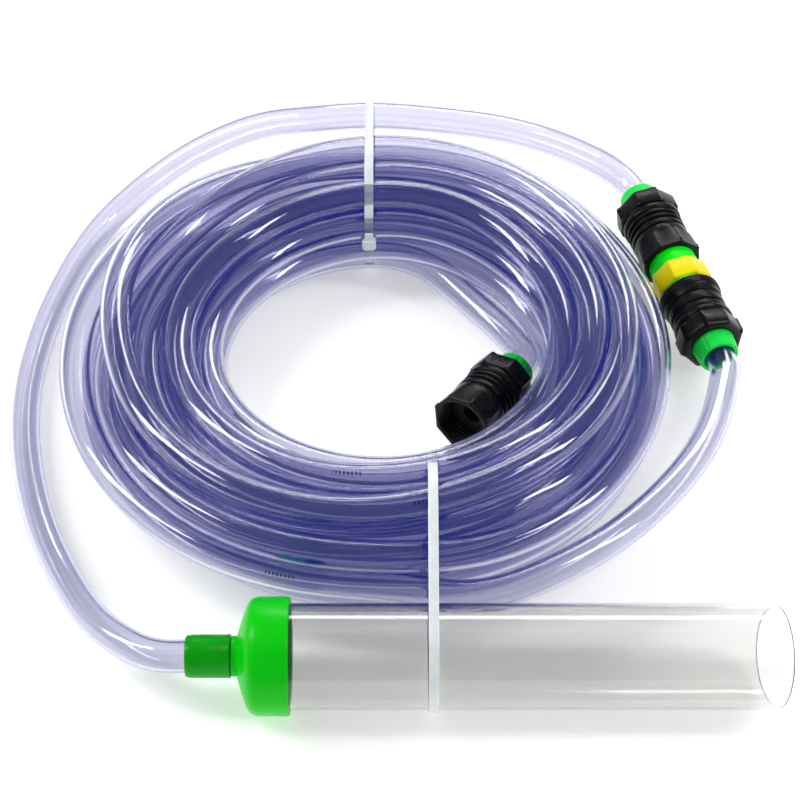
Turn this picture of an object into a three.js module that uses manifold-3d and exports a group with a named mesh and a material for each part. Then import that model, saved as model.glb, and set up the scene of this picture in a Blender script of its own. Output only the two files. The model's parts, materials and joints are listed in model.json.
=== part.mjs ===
// Gravel vacuum siphon: a clear gravel tube with its cap, a long clear hose wound in a tied coil,
// three compression connectors and a twist valve. Millimetres, +Z up, standing on z = 0.
import * as THREE from 'three';
import { mergeVertices } from 'three/addons/utils/BufferGeometryUtils.js';
import Module from 'manifold-3d';

const wasm = await Module();
wasm.setup();

// ---- Driving dimensions ----------------------------------------------------------------------

const GAP = 0.3; // clearance between pieces that seat, turn or slide on each other
const ROUND = 24; // facets round a turned piece; a multiple of 8, so that octagons come out true
const SMALL_ROUND = 16; // facets round a seal, washer or pin

// Hose
const HOSE_RADIUS = 8;
const HOSE_BORE_RADIUS = 6.35;
const HOSE_STEP = 26; // length of one straight facet along the hose
const HOSE_HALF_SIDES = 6; // half of the facets round the hose

// Coil of hose, a round bundle bent into a ring
const COIL_RADIUS = 123;
const BUNDLE_RADIUS = 36;

// Cable ties
const TIE_WIDTH = 4.8;
const TIE_THICKNESS = 1.2;
const TIE_SLACK = 0.9; // room between the bundle's side and the tie, for the ring's curve
const TIE_HEAD = { width: 7.5, height: 7.8, depth: 5.5, rise: 2 };
const BACK_TIE = { x: -2.5, turn: 0.07 };
const FRONT_TIE = { x: 30 };

// Gravel tube and cap, both along X
const TUBE_RADIUS = 25;
const TUBE_WALL = 1.5;
const TUBE_LENGTH = 246;
const MOUTH_SLANT = THREE.MathUtils.degToRad(12);
const MOUTH_TURN = THREE.MathUtils.degToRad(222); // which side of the slanted mouth is the long one
const CAP_WALL = 2.8;
const CAP_SKIRT = 16;
const CAP_SHOULDER = 4.6;
const CAP_CONE = 4.6;
const CAP_NECK = 2.4;
const CAP_NECK_RADIUS = 9.6;
const CAP_X = -86.6; // end of the sleeve, where the hose leaves
const SLEEVE_LENGTH = 21.3;
const SLEEVE_WALL = 1.95;
const SPIGOT_BORE_RADIUS = 4.4;
const BARB_RADIUS = 5.8;
const BARB_ROOT_RADIUS = 5.2;
const BARB_PITCH = 4.5;

// Compression connectors
const GRIP_SHOWN = 9; // gripper standing out of its nut
const GRIP_TIP_RADIUS = 10.3;
const GRIP_BASE_RADIUS = 11.7;
const GRIP_BORE_RADIUS = HOSE_RADIUS + 0.6;
const GRIP_FLANGE_RADIUS = 13;
const GRIP_FLANGE = 1.8;
const COLLET_RADIUS = 10.9;
const COLLET_LENGTH = 7;
const COLLET_SLOT = 1.6;
const NUT_LENGTH = 16.5;
const NUT_RADIUS = 17.2; // over its corners
const NUT_FACETED = 11.5; // length of the octagonal part
const NUT_BAND_RADIUS = 16.2;
const NUT_WALL = 1.6;
const THREAD_RADIUS = 13.3;
const THREAD_WALL = 2;
const POCKET_FLOOR = 1.5; // from the nut's inner end back to where the hose bottoms
const RINGS_LENGTH = 11;
const RING_RADII = [16.3, 15.9, 15.7];
const RING_GROOVE_RADIUS = 14.6;
const WATERWAY_RADIUS = 4.4;
const NECK_RADIUS = 9.5;
const NECK_FLANGE_RADIUS = 11.2;
const NECK_FLANGE = 1.8;
const NUT_FLOAT = 0.8; // how far the coupling nut slides along the neck
const COUPLING_LENGTH = 18.5;
const COUPLING_BACK = 2.4;
const COUPLING_BACK_RADIUS = 15.6;
const COUPLING_MOUTH_RADIUS = 17.2; // over its corners
const COUPLING_THREAD_RADIUS = 12.8;
const WASHER_THICKNESS = 2;
const MALE_NECK = 15.5;
const MALE_NECK_RADIUS = 15.3;
const KNURL_LENGTH = 5.5;
const KNURL_RADIUS = 16.8;
const KNURL_DEPTH = 0.45;
const KNURL_TEETH = 24;

// Twist valve, between connectors 1 and 2
const SHOULDER_LENGTH = 8.2;
const SHOULDER_RADIUS = 13.3;
const SHOULDER_SUNK = 1; // how far the shoulder reaches into the coupling nut
const COLLAR_LENGTH = 13.5;
const COLLAR_RADIUS = 16; // over its corners
const RIM_LENGTH = 2.4;
const RIM_RADIUS = 14.2;
const HUB_RADIUS = 11;
const HUB_BORE_RADIUS = 8.8;
const SOCKET_RADIUS = 9.5;
const PORT_WALL = 2; // walls and disc with the ports in them
const PORT_RADII = [3.2, 8.2];
const PORT_EDGE = THREE.MathUtils.degToRad(5);
const PIN_RADIUS = 1.5;
const PIN_HEAD_RADIUS = 2.6;
const PIN_HEAD = 1.4;
const SEAL_WIDTH = 1.6;
const SEAL_GROOVE = 1.1; // depth

// ---- Places, worked out from the sizes -------------------------------------------------------

const TIE_CLEAR = GAP + TIE_THICKNESS; // from the bundle's underside to the floor
const BUNDLE_Z = BUNDLE_RADIUS + TIE_CLEAR;
const SEAT = CAP_WALL * 0.92; // thickness of the cap behind the ledge that the tube butts on
const CAP_RADIUS = TUBE_RADIUS + GAP + CAP_WALL;
const CAP_Z = CAP_RADIUS; // the cap lies on the floor
const capStations = {
  neck: SLEEVE_LENGTH + GAP,
  cone: SLEEVE_LENGTH + GAP + CAP_NECK,
  shoulder: SLEEVE_LENGTH + GAP + CAP_NECK + CAP_CONE,
};
capStations.seat = capStations.shoulder + SEAT;
capStations.rim = capStations.shoulder + CAP_SHOULDER + CAP_SKIRT - GAP;
const TUBE_SIDE = BUNDLE_RADIUS + TUBE_RADIUS + GAP;
const TUBE_Y = -COIL_RADIUS - Math.sqrt(TUBE_SIDE ** 2 - (BUNDLE_Z - CAP_Z) ** 2);
const MOUTH_X = CAP_X + capStations.seat + GAP + TUBE_LENGTH;

// Stations along a connector, from the gripper's outer end towards the coupling
const NUT_END = GRIP_SHOWN + NUT_LENGTH;
const FLANGE_START = GRIP_SHOWN + NUT_WALL + GAP;
const FLANGE_END = FLANGE_START + GRIP_FLANGE;
const COLLET_END = FLANGE_END + COLLET_LENGTH;
const HOSE_STOP = NUT_END - POCKET_FLOOR;
const RINGS_START = NUT_END + GAP;
const RINGS_END = RINGS_START + RINGS_LENGTH;
const COUPLING_START = RINGS_END + GAP;
const NECK_END = COUPLING_START + COUPLING_BACK + NUT_FLOAT + NECK_FLANGE;
const WASHER_END = NECK_END + GAP + WASHER_THICKNESS;
const MOUTH = COUPLING_START + COUPLING_LENGTH;
const MALE_END = RINGS_START + MALE_NECK + KNURL_LENGTH;

// Stations along the valve, from connector 1's mouth
const COLLAR_START = SHOULDER_LENGTH + GAP;
const COLLAR_END = COLLAR_START + COLLAR_LENGTH;
const RIM_END = COLLAR_END + GAP + RIM_LENGTH;
const DISC_MIDDLE = COLLAR_START + COLLAR_LENGTH * 0.58;
const DISC_START = DISC_MIDDLE - PORT_WALL / 2;
const DISC_END = DISC_MIDDLE + PORT_WALL / 2;
const VALVE_LENGTH = RIM_END;

// Lines of fittings, with the coil's centre at x = y = 0. The valve's line is level and runs past
// the bundle's outer edge; angle is where it comes closest, and before is how far back it starts.
const VALVE_LINE = { angle: THREE.MathUtils.degToRad(15.77), before: 88.3, clearance: 2.5, height: 26 };
const FREE_END = { angle: THREE.MathUtils.degToRad(8.97), inset: 10.3, height: 15.3 };
const FREE_END_ALONG = [-0.54, -0.83, 0.14];
const BACK_HOSE = { angle: THREE.MathUtils.degToRad(30.4), clearance: 2.4 };

// Routes of the free stretches of hose, chosen by hand; the fittings' ends are added to them
const HOSE_A_ROUTE = [
  [-106, -180.5, 27],
  [-119, -171, 24],
  [-134, -154, 18.5],
  [-152, -122, 12],
  [-166.7, -88, 9],
  [-177, -52, 8.5],
  [-182.5, -16, 8.5],
  [-182.5, 20, 8.5],
  [-174, 72, 8.6],
  [-155, 123, 11],
  [-128, 151, 21],
  [-99, 162.5, 36],
  [-65, 164.5, 52],
  [-33, 161.5, 60],
  [0, 163, 61],
  [36, 162, 58.5],
  [70, 161, 53.5],
  [93, 160, 47],
  [112, 158.5, 39.5],
  [128, 155, 32.5],
  [139, 149, 28],
];
const HOSE_B_LEAD_ROUTE = [
  [184, -4, 26.5],
  [181, -22, 28],
  [168.5, -57, 31.5],
  [149.5, -86.5, 35.5],
  [122, -119, 38.5],
  [92, -141, 40],
];
const HOSE_B_TAIL_ROUTE = [
  [78, 34, 12.5],
  [70, 47, 12],
  [61, 58, 12],
];

// ---- Materials -------------------------------------------------------------------------------

const look = (color, roughness, opacity = 1) =>
  new THREE.MeshStandardMaterial({ color, roughness, metalness: 0, opacity, transparent: opacity < 1 });

const clearHose = look(0xcdcbdc, 0.12, 0.6);
const clearTube = look(0xdcd9dd, 0.1, 0.4);
const greenCap = look(0x06d10c, 0.3);
const greenSleeve = look(0x069a0e, 0.35);
const greenGrip = look(0x1fd94a, 0.4);
const greenValve = look(0x12cf14, 0.35);
const yellowCollar = look(0xf1ec0a, 0.4);
const blackFitting = look(0x18191b, 0.45);
const blackRubber = look(0x101112, 0.8);
const nylonTie = look(0xdfe7ec, 0.5, 0.85);

// ---- Shapes ----------------------------------------------------------------------------------

// A turned piece along +Z. Rows are [radius, along, flat]; flat 1 makes an octagon over its corners
// and 0 a circle. A profile that stays off the axis closes on itself, so the piece has a bore.
function turned(profile, segments = ROUND) {
  const rows = profile[0][0] > 0 ? [...profile, profile[0]] : profile;
  const points = rows.map(([radius, along]) => new THREE.Vector2(radius, along));
  const lathe = new THREE.LatheGeometry(points, segments);
  const { position } = lathe.attributes;
  for (let i = 0; i < position.count; i++) {
    const flat = rows[i % rows.length][2] ?? 0;
    const angle = (Math.floor(i / rows.length) * 2 * Math.PI) / segments;
    const fromFacet = (angle % (Math.PI / 4)) - Math.PI / 8;
    const scale = 1 - flat + (flat * Math.cos(Math.PI / 8)) / Math.cos(fromFacet);
    position.setXYZ(i, position.getX(i) * scale, position.getY(i), position.getZ(i) * scale);
  }
  return lathe.rotateX(Math.PI / 2);
}

function toSolid(geometry) {
  const bare = new THREE.BufferGeometry().setAttribute('position', geometry.attributes.position.clone());
  bare.setIndex(geometry.index ?? [...Array(geometry.attributes.position.count).keys()]);
  const merged = mergeVertices(bare, 1e-4);
  const corners = merged.index.array;
  const kept = [];
  for (let i = 0; i < corners.length; i += 3) {
    const [a, b, c] = corners.slice(i, i + 3);
    if (a !== b && b !== c && c !== a) kept.push(a, b, c);
  }
  const vertProperties = Float32Array.from(merged.attributes.position.array);
  return new wasm.Manifold(new wasm.Mesh({ numProp: 3, vertProperties, triVerts: Uint32Array.from(kept) }));
}

function toGeometry(solid) {
  const { vertProperties, triVerts } = solid.getMesh();
  const geometry = new THREE.BufferGeometry();
  geometry.setAttribute('position', new THREE.BufferAttribute(Float32Array.from(vertProperties), 3));
  geometry.setIndex([...triVerts]);
  return geometry;
}

const joined = (...pieces) => toGeometry(pieces.map(toSolid).reduce((all, next) => all.add(next)));
const cutBy = (piece, ...cutters) =>
  toGeometry(cutters.map(toSolid).reduce((left, cutter) => left.subtract(cutter), toSolid(piece)));

function box(width, depth, height, x, y, z) {
  return new THREE.BoxGeometry(width, depth, height).translate(x, y, z);
}

// A flat disc with two opposite quarter ports and a hole for the pin, standing on z = from
function portedDisc(radius, from, thickness = PORT_WALL) {
  const outline = new THREE.Shape().absarc(0, 0, radius, 0, 2 * Math.PI);
  outline.holes.push(new THREE.Path().absarc(0, 0, PIN_RADIUS + GAP, 0, 2 * Math.PI, true));
  for (const turn of [0, Math.PI]) {
    const port = new THREE.Path();
    port.absarc(0, 0, PORT_RADII[1], turn + PORT_EDGE, turn + Math.PI / 2 - PORT_EDGE);
    port.absarc(0, 0, PORT_RADII[0], turn + Math.PI / 2 - PORT_EDGE, turn + PORT_EDGE, true);
    port.closePath();
    outline.holes.push(port);
  }
  const options = { depth: thickness, bevelEnabled: false, curveSegments: ROUND / 3 };
  return new THREE.ExtrudeGeometry(outline, options).translate(0, 0, from);
}

// Barb ridges on a spigot, as profile rows from its tip towards its root
function barbs(from, count) {
  const rows = [[BARB_ROOT_RADIUS - 0.3, from]];
  for (let i = 1; i <= count; i++) {
    rows.push([BARB_RADIUS, from + i * BARB_PITCH], [BARB_ROOT_RADIUS, from + i * BARB_PITCH]);
  }
  return rows;
}

// A free stretch of hose: a round hollow section along a smooth route
function hose(route) {
  const points = route.map(([x, y, z]) => new THREE.Vector3(x, y, z));
  const path = new THREE.CatmullRomCurve3(points, false, 'centripetal');
  const section = new THREE.Shape().absarc(0, 0, HOSE_RADIUS, 0, 2 * Math.PI);
  section.holes.push(new THREE.Path().absarc(0, 0, HOSE_BORE_RADIUS, 0, 2 * Math.PI, true));
  const steps = Math.max(2, Math.round(path.getLength() / HOSE_STEP));
  return new THREE.ExtrudeGeometry(section, { extrudePath: path, steps, curveSegments: HOSE_HALF_SIDES });
}

// ---- The assembly ----------------------------------------------------------------------------

const siphon = new THREE.Group();

function add(parent, name, geometry, material) {
  const mesh = new THREE.Mesh(geometry, material);
  mesh.name = name;
  parent.add(mesh);
  return mesh;
}

// A group whose own +Z runs from start along the given direction
function line(start, along) {
  const group = new THREE.Group();
  group.position.set(...start);
  const direction = new THREE.Vector3(...along).normalize();
  group.quaternion.setFromUnitVectors(new THREE.Vector3(0, 0, 1), direction);
  group.updateMatrix();
  siphon.add(group);
  return group;
}

const pointOn = (group, distance) =>
  new THREE.Vector3(0, 0, distance).applyMatrix4(group.matrix).toArray();

// ---- Gravel tube, cap and sleeve -------------------------------------------------------------

const CAP_AXIS = [1, 0, 0];
const capLine = line([CAP_X, TUBE_Y, CAP_Z], CAP_AXIS);

function tubeCap() {
  const { neck, cone, shoulder, seat, rim } = capStations;
  const tubeBore = TUBE_RADIUS - TUBE_WALL;
  return turned([
    [SPIGOT_BORE_RADIUS, GAP],
    ...barbs(GAP, 3),
    [BARB_ROOT_RADIUS, neck],
    [CAP_NECK_RADIUS, neck],
    [CAP_NECK_RADIUS, cone],
    [CAP_NECK_RADIUS + 1.5, cone + 0.3],
    [CAP_RADIUS - 4.8, shoulder],
    [CAP_RADIUS - 1.8, shoulder + 1.4],
    [CAP_RADIUS - 0.4, shoulder + 3],
    [CAP_RADIUS, shoulder + CAP_SHOULDER],
    [CAP_RADIUS, rim - 0.8],
    [CAP_RADIUS - 0.5, rim],
    [TUBE_RADIUS + GAP, rim],
    [TUBE_RADIUS + GAP, seat],
    [tubeBore - 0.3, seat],
    [tubeBore - 1.8, seat - 1.2],
    [CAP_NECK_RADIUS - 1.1, cone + 1.4],
    [SPIGOT_BORE_RADIUS, cone - 0.2],
  ], 2 * ROUND);
}

function gravelTube() {
  const start = capStations.seat + GAP;
  const bore = TUBE_RADIUS - TUBE_WALL;
  const end = start + TUBE_LENGTH;
  const tube = turned([[bore, start], [TUBE_RADIUS, start], [TUBE_RADIUS, end], [bore, end]], 2 * ROUND);
  const { position } = tube.attributes;
  const longSide = new THREE.Vector2(Math.cos(MOUTH_TURN), Math.sin(MOUTH_TURN));
  for (let i = 0; i < position.count; i++) {
    if (position.getZ(i) < (start + end) / 2) continue;
    const reach = longSide.x * position.getX(i) + longSide.y * position.getY(i);
    position.setZ(i, position.getZ(i) + reach * Math.tan(MOUTH_SLANT));
  }
  return tube;
}

const sleeveBore = HOSE_RADIUS + GAP;
const capSleeve = turned([
  [sleeveBore + 0.5, 0],
  [sleeveBore + 1, 0],
  [sleeveBore + SLEEVE_WALL, 4],
  [sleeveBore + SLEEVE_WALL, SLEEVE_LENGTH],
  [sleeveBore, SLEEVE_LENGTH],
  [sleeveBore, 3],
]);

add(capLine, 'gravel_tube', gravelTube(), clearTube);
add(capLine, 'tube_cap', tubeCap(), greenCap);
add(capLine, 'cap_sleeve', capSleeve, greenSleeve);

// ---- Connectors ------------------------------------------------------------------------------

// The green gripper: a tapered collar outside the nut, a flange the nut pushes on, and a slotted
// collet that closes on the hose
function gripCollar() {
  const collar = turned([
    [GRIP_BORE_RADIUS, 0],
    [GRIP_TIP_RADIUS, 0],
    [GRIP_BASE_RADIUS, GRIP_SHOWN + NUT_WALL],
    [GRIP_FLANGE_RADIUS, FLANGE_START],
    [GRIP_FLANGE_RADIUS, FLANGE_END],
    [COLLET_RADIUS, FLANGE_END],
    [COLLET_RADIUS - 0.5, COLLET_END],
    [GRIP_BORE_RADIUS, COLLET_END],
  ]);
  const slotMiddle = FLANGE_END + 1.5 + COLLET_LENGTH / 2;
  const span = 3 * COLLET_RADIUS;
  return cutBy(
    collar,
    box(COLLET_SLOT, span, COLLET_LENGTH, 0, 0, slotMiddle),
    box(span, COLLET_SLOT, COLLET_LENGTH, 0, 0, slotMiddle),
  );
}

// The octagonal nut that runs on the body's thread and pushes the gripper home
function clampNut() {
  const start = GRIP_SHOWN;
  const passage = GRIP_BASE_RADIUS + GAP;
  const cavity = THREAD_RADIUS + GAP;
  return turned([
    [passage, start],
    [NUT_RADIUS - 2, start, 1],
    [NUT_RADIUS, start + 1.8, 1],
    [NUT_RADIUS, start + NUT_FACETED, 1],
    [NUT_BAND_RADIUS, start + NUT_FACETED + 0.6],
    [NUT_BAND_RADIUS, NUT_END - 1],
    [NUT_BAND_RADIUS - 0.6, NUT_END],
    [cavity, NUT_END],
    [cavity, start + NUT_WALL],
    [passage, start + NUT_WALL],
  ]);
}

// The hose end of every connector body: barbed spigot, pocket for the hose and threaded skirt
function hoseEnd() {
  const barbStart = GRIP_SHOWN / 3;
  return [
    [WATERWAY_RADIUS, barbStart],
    ...barbs(barbStart, 3),
    [BARB_ROOT_RADIUS, HOSE_STOP],
    [THREAD_RADIUS - THREAD_WALL, HOSE_STOP],
    [THREAD_RADIUS - THREAD_WALL, FLANGE_END + 2 * GAP],
    [THREAD_RADIUS, FLANGE_END + 2 * GAP],
    [THREAD_RADIUS, RINGS_START],
  ];
}

// The swivel-end body: three ribbed rings, then the neck that carries the coupling nut
function swivelBody() {
  const pitch = RINGS_LENGTH / RING_RADII.length;
  const rings = RING_RADII.flatMap((radius, i) => {
    const start = RINGS_START + i * pitch;
    const end = start + pitch * (i < RING_RADII.length - 1 ? 0.72 : 1);
    const foot = i ? [[RING_GROOVE_RADIUS, start]] : [];
    const lip = i < RING_RADII.length - 1 ? [[RING_GROOVE_RADIUS, end]] : [];
    return [...foot, [radius, start], [radius, end], ...lip];
  });
  return turned([
    ...hoseEnd(),
    ...rings,
    [NECK_RADIUS, RINGS_END],
    [NECK_RADIUS, NECK_END - NECK_FLANGE],
    [NECK_FLANGE_RADIUS, NECK_END - NECK_FLANGE],
    [NECK_FLANGE_RADIUS, NECK_END],
    [WATERWAY_RADIUS, NECK_END],
  ]);
}

// The threaded-end body: a plain neck, a knurled flange and the stub that screws into the valve
function threadedBody() {
  const knurlStart = MALE_END - KNURL_LENGTH;
  const stubRadius = SOCKET_RADIUS - GAP;
  const stubEnd = MALE_END + GAP + RIM_END - DISC_END - 2 * PORT_WALL - 3 * GAP;
  const body = turned([
    ...hoseEnd(),
    [MALE_NECK_RADIUS, RINGS_START],
    [MALE_NECK_RADIUS, knurlStart],
    [KNURL_RADIUS, knurlStart + 0.6],
    [KNURL_RADIUS, MALE_END - 0.6],
    [stubRadius + 2, MALE_END],
    [stubRadius, MALE_END],
    [stubRadius, stubEnd],
    [WATERWAY_RADIUS, stubEnd],
  ], 2 * KNURL_TEETH);
  const { position } = body.attributes;
  for (let i = 0; i < position.count; i++) {
    const radius = Math.hypot(position.getX(i), position.getY(i));
    const tooth = Math.round((Math.atan2(position.getY(i), position.getX(i)) * KNURL_TEETH) / Math.PI);
    if (radius < KNURL_RADIUS - KNURL_DEPTH || tooth % 2 === 0) continue;
    const scale = (KNURL_RADIUS - KNURL_DEPTH) / radius;
    position.setXYZ(i, position.getX(i) * scale, position.getY(i) * scale, position.getZ(i));
  }
  return body;
}

// The swivel nut: round at its back, flaring to an octagon at its mouth
function couplingNut() {
  const passage = NECK_RADIUS + GAP + 0.1;
  const cavityStart = COUPLING_START + COUPLING_BACK;
  return turned([
    [passage, COUPLING_START],
    [COUPLING_BACK_RADIUS - 0.8, COUPLING_START],
    [COUPLING_BACK_RADIUS, COUPLING_START + 0.8],
    [COUPLING_BACK_RADIUS, COUPLING_START + 3.5],
    [COUPLING_BACK_RADIUS + 0.6, COUPLING_START + 6, 1],
    [COUPLING_MOUTH_RADIUS, MOUTH - 1, 1],
    [COUPLING_MOUTH_RADIUS - 0.7, MOUTH, 1],
    [SHOULDER_RADIUS + 2 * GAP, MOUTH],
    [COUPLING_THREAD_RADIUS, MOUTH - 2.2],
    [COUPLING_THREAD_RADIUS, cavityStart],
    [passage, cavityStart],
  ]);
}

function washer(from, to, bore, radius) {
  return turned([[bore, from], [radius, from], [radius, to], [bore, to]], SMALL_ROUND);
}

const valveWasher = () =>
  washer(NECK_END + GAP, WASHER_END, WATERWAY_RADIUS + 1, COUPLING_THREAD_RADIUS - 2 * GAP);

function connector(group, number, body, seal, coupling) {
  add(group, `grip_collar_${number}`, gripCollar(), greenGrip);
  add(group, `clamp_nut_${number}`, clampNut(), blackFitting);
  add(group, `connector_body_${number}`, body, blackFitting);
  if (coupling) add(group, `coupling_nut_${number}`, coupling, blackFitting);
  add(group, `washer_${number}`, seal, blackRubber);
}

const valveSide = COIL_RADIUS + BUNDLE_RADIUS + NUT_RADIUS + VALVE_LINE.clearance;
const [across, level] = [Math.cos(VALVE_LINE.angle), Math.sin(VALVE_LINE.angle)];
const valveWay = [level, -across, 0];
const valveStart = [
  valveSide * across - VALVE_LINE.before * level,
  valveSide * level + VALVE_LINE.before * across,
  VALVE_LINE.height,
];
const line1 = line(valveStart, valveWay);
const lineLength = MOUTH + GAP + VALVE_LENGTH + GAP + MALE_END;
const line2 = line(pointOn(line1, lineLength), valveWay.map((part) => -part));
const freeReach = COIL_RADIUS - BUNDLE_RADIUS - FREE_END.inset;
const freeStart = [
  freeReach * Math.cos(FREE_END.angle),
  freeReach * Math.sin(FREE_END.angle),
  FREE_END.height,
];
const line3 = line(freeStart, FREE_END_ALONG);

const maleWasherStart = MALE_END + GAP + RIM_END - DISC_END - 2 * PORT_WALL - 2 * GAP;
const maleWasher = washer(
  maleWasherStart,
  maleWasherStart + PORT_WALL - GAP,
  WATERWAY_RADIUS + 1,
  SOCKET_RADIUS - GAP,
);
connector(line1, 1, swivelBody(), valveWasher(), couplingNut());
connector(line2, 2, threadedBody(), maleWasher);
connector(line3, 3, swivelBody(), valveWasher(), couplingNut());

// ---- Twist valve -----------------------------------------------------------------------------

const valve = line(pointOn(line1, MOUTH + GAP), valveWay);

// Rows of a seal groove in a hub, walking along +Z
function sealGroove(middle) {
  const half = SEAL_WIDTH / 2 + GAP;
  return [
    [HUB_RADIUS, middle - half],
    [HUB_RADIUS - SEAL_GROOVE, middle - half],
    [HUB_RADIUS - SEAL_GROOVE, middle + half],
    [HUB_RADIUS, middle + half],
  ];
}

const inletSeal = COLLAR_START + 3.4;
const outletSeal = COLLAR_END - 2.2;
const inletWall = DISC_START - GAP - PORT_WALL;
const outletWall = DISC_END + GAP;

function valveInlet() {
  const stubStart = WASHER_END + GAP - MOUTH - GAP;
  const tube = turned([
    [HUB_BORE_RADIUS, stubStart],
    [COUPLING_THREAD_RADIUS - 2 * GAP, stubStart],
    [COUPLING_THREAD_RADIUS - 2 * GAP, -SHOULDER_SUNK],
    [SHOULDER_RADIUS, -SHOULDER_SUNK],
    [SHOULDER_RADIUS, SHOULDER_LENGTH],
    [HUB_RADIUS, SHOULDER_LENGTH],
    ...sealGroove(inletSeal),
    [HUB_RADIUS, inletWall + PORT_WALL],
    [HUB_BORE_RADIUS, inletWall + PORT_WALL],
  ]);
  return joined(tube, portedDisc(HUB_BORE_RADIUS + 0.4, inletWall));
}

function valveOutlet() {
  const tube = turned([
    [SOCKET_RADIUS, outletWall],
    [HUB_RADIUS, outletWall],
    [HUB_RADIUS, COLLAR_END + GAP],
    [RIM_RADIUS, COLLAR_END + GAP],
    [RIM_RADIUS, RIM_END - 0.5],
    [RIM_RADIUS - 0.5, RIM_END],
    [SOCKET_RADIUS, RIM_END],
  ]);
  return joined(tube, portedDisc(SOCKET_RADIUS + 0.4, outletWall));
}

// The yellow grip that turns the ported disc; two keyways take the disc's keys
const KEY = { width: 4, reach: 1.6 };
const collarBore = HUB_RADIUS + 0.4;

function valveCollar() {
  const grip = turned([
    [collarBore, COLLAR_START],
    [COLLAR_RADIUS - 0.8, COLLAR_START, 1],
    [COLLAR_RADIUS, COLLAR_START + 0.8, 1],
    [COLLAR_RADIUS, COLLAR_END - 0.8, 1],
    [COLLAR_RADIUS - 0.8, COLLAR_END, 1],
    [collarBore, COLLAR_END],
  ]);
  const keyway = box(
    KEY.width + 2 * GAP,
    2 * (collarBore + KEY.reach),
    PORT_WALL + 2 * GAP,
    0,
    0,
    DISC_MIDDLE,
  );
  return cutBy(grip, keyway);
}

function valveDisc() {
  const rimWidth = 1.2;
  const keys = [1, -1].map((side) =>
    box(
      KEY.width,
      KEY.reach + rimWidth,
      PORT_WALL,
      0,
      side * (HUB_RADIUS + (KEY.reach - rimWidth) / 2),
      DISC_MIDDLE,
    ),
  );
  return joined(portedDisc(HUB_RADIUS, DISC_START), ...keys);
}

const pinStart = inletWall - GAP - PIN_HEAD;
const pinEnd = outletWall + PORT_WALL + GAP + PIN_HEAD;
const valvePin = turned([
  [0, pinStart],
  [PIN_HEAD_RADIUS, pinStart],
  [PIN_HEAD_RADIUS, pinStart + PIN_HEAD],
  [PIN_RADIUS, pinStart + PIN_HEAD],
  [PIN_RADIUS, pinEnd - PIN_HEAD],
  [PIN_HEAD_RADIUS, pinEnd - PIN_HEAD],
  [PIN_HEAD_RADIUS, pinEnd],
  [0, pinEnd],
], SMALL_ROUND);

const seal = (middle) =>
  washer(
    middle - SEAL_WIDTH / 2,
    middle + SEAL_WIDTH / 2,
    HUB_RADIUS - SEAL_GROOVE + GAP,
    HUB_RADIUS - 0.05,
  );

add(valve, 'valve_inlet', valveInlet(), greenValve);
add(valve, 'valve_outlet', valveOutlet(), greenValve);
add(valve, 'valve_collar', valveCollar(), yellowCollar);
add(valve, 'valve_disc', valveDisc(), blackRubber);
add(valve, 'valve_pin', valvePin, blackFitting);
add(valve, 'valve_seal', seal(inletSeal), blackRubber);

// ---- Hose ------------------------------------------------------------------------------------


// A hose's way out of a fitting, from the given depth inside it to a little way outside
const wayOut = (fitting, depth, straight = 9) =>
  [depth, 0, -straight].map((along) => pointOn(fitting, along));
const hoseDepth = HOSE_STOP - GAP;
const hoseA = [
  ...wayOut(capLine, SLEEVE_LENGTH - GAP),
  ...HOSE_A_ROUTE,
  ...wayOut(line1, hoseDepth, 6).reverse(),
];
const hoseLead = [...wayOut(line2, hoseDepth), ...HOSE_B_LEAD_ROUTE];
const hoseTail = [...wayOut(line3, hoseDepth), ...HOSE_B_TAIL_ROUTE];
add(siphon, 'hose_a', hose(hoseA), clearHose);
add(siphon, 'hose_b_lead', hose(hoseLead), clearHose);
add(siphon, 'hose_b_tail', hose(hoseTail), clearHose);

const bundleSides = 16;
const bundle = Array.from({ length: bundleSides }, (_, i) => {
  const angle = (2 * Math.PI * i) / bundleSides;
  return [COIL_RADIUS + BUNDLE_RADIUS * Math.cos(angle), BUNDLE_Z + BUNDLE_RADIUS * Math.sin(angle)];
});
add(siphon, 'hose_b_coil', turned(bundle, 2 * ROUND), clearHose);

// ---- Cable ties ------------------------------------------------------------------------------

// Points round an ellipse in the tie's plane
function ellipse(centre, height, halfWidth, halfHeight, count = 32) {
  return Array.from({ length: count }, (_, i) => {
    const angle = (2 * Math.PI * (i + 0.5)) / count;
    return new THREE.Vector2(centre + halfWidth * Math.cos(angle), height + halfHeight * Math.sin(angle));
  });
}

// The taut line round a set of points, anticlockwise
function taut(points) {
  const sorted = [...points].sort((a, b) => a.x - b.x || a.y - b.y);
  const turnsLeft = (a, b, c) => (b.x - a.x) * (c.y - a.y) - (b.y - a.y) * (c.x - a.x) > 1e-9;
  const half = (list) =>
    list.reduce((chain, point) => {
      while (chain.length > 1 && !turnsLeft(chain.at(-2), chain.at(-1), point)) chain.pop();
      chain.push(point);
      return chain;
    }, []);
  return [...half(sorted).slice(0, -1), ...half(sorted.reverse()).slice(0, -1)];
}

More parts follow.
